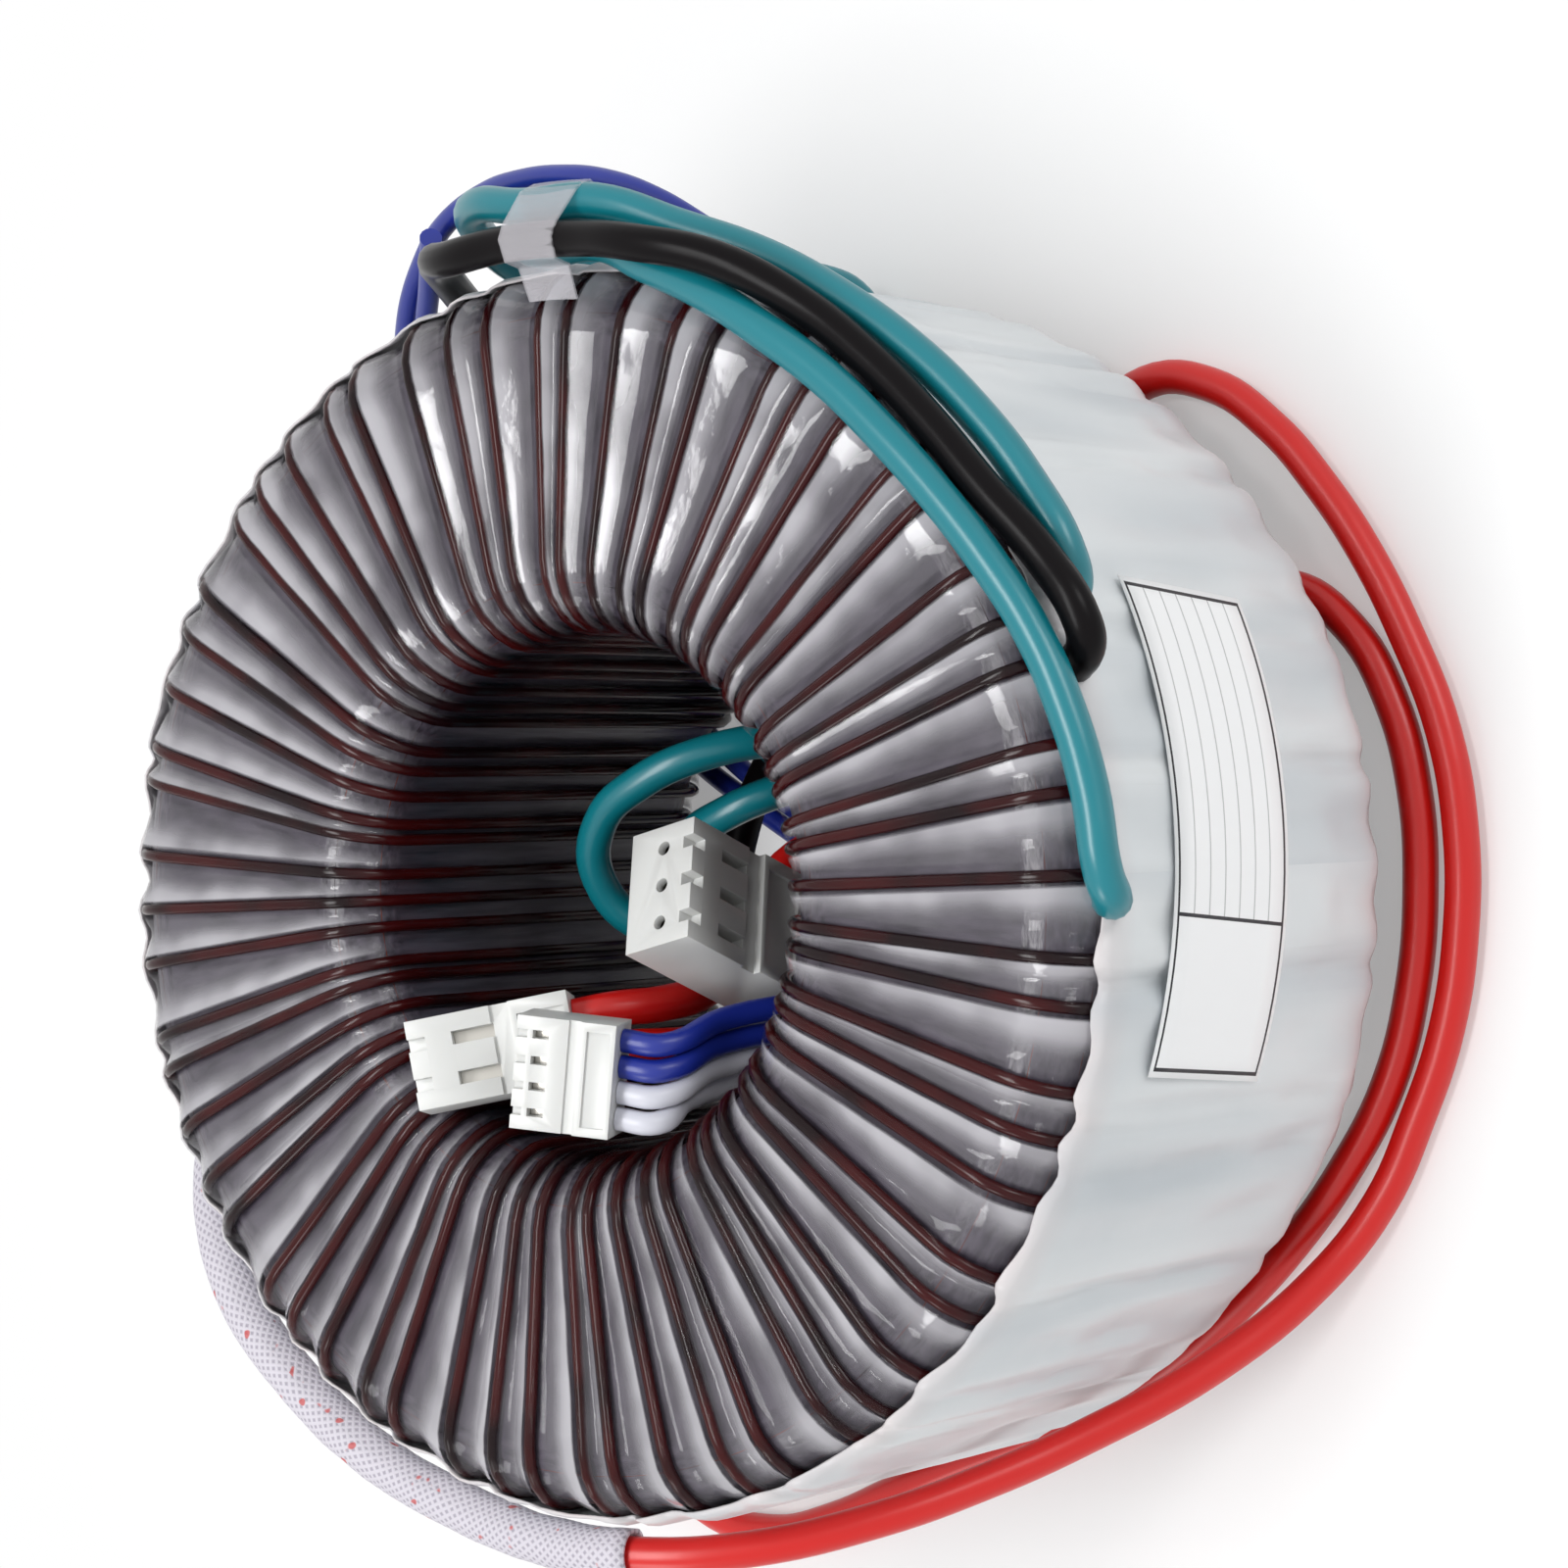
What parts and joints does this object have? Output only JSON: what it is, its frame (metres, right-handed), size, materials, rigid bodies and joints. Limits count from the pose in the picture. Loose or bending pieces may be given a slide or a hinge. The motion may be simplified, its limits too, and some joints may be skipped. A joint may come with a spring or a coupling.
{
  "type": "toroidal transformer",
  "caption": "Ring-shaped mains transformer, wound with enamelled wire under clear film, with a white band, insulated leads and nylon plugs tucked into its hole.",
  "frame": {"origin": "centre of the core, half way up the ring on its axis", "axes": "+Z along the ring's axis, away from the face it lies on; +X towards the rim where the thick leads are taped"},
  "size_m": [0.1464, 0.1327, 0.0681],
  "materials": {
    "core": "satin",
    "wrap": "matte",
    "copper_enamel": "satin",
    "film_wrap": "glossy",
    "clear_film": "glossy",
    "white_band": "satin",
    "label_paper": "matte",
    "clear_tape": "glossy",
    "glass_braid": "woven",
    "red_insulation": "satin",
    "teal_insulation": "satin",
    "black_insulation": "satin",
    "blue_insulation": "satin",
    "white_insulation": "satin",
    "nylon": "satin",
    "tinned_contact": "satin"
  },
  "bodies": {
    "root": {"core": "core", "core_wrap": "wrap", "primary_winding": "copper_enamel", "primary_wrap": "film_wrap", "secondary_winding": "copper_enamel", "secondary_wrap": "film_wrap", "outer_winding": "copper_enamel", "clear_film": "clear_film", "side_band": "white_band", "label": "label_paper", "bundle_tape": "clear_tape", "braided_sleeve": "glass_braid", "red_lead_1": "red_insulation", "red_lead_2": "red_insulation", "teal_lead_1": "teal_insulation", "teal_lead_2": "teal_insulation", "black_lead": "black_insulation", "blue_lead_1": "blue_insulation", "blue_lead_2": "blue_insulation", "white_lead_1": "white_insulation", "white_lead_2": "white_insulation", "mains_plug": "nylon", "mains_terminals": "tinned_contact", "output_plug": "nylon", "output_terminals": "tinned_contact", "low_voltage_plug": "nylon", "low_voltage_terminals": "tinned_contact"}
  },
  "joints": []
}
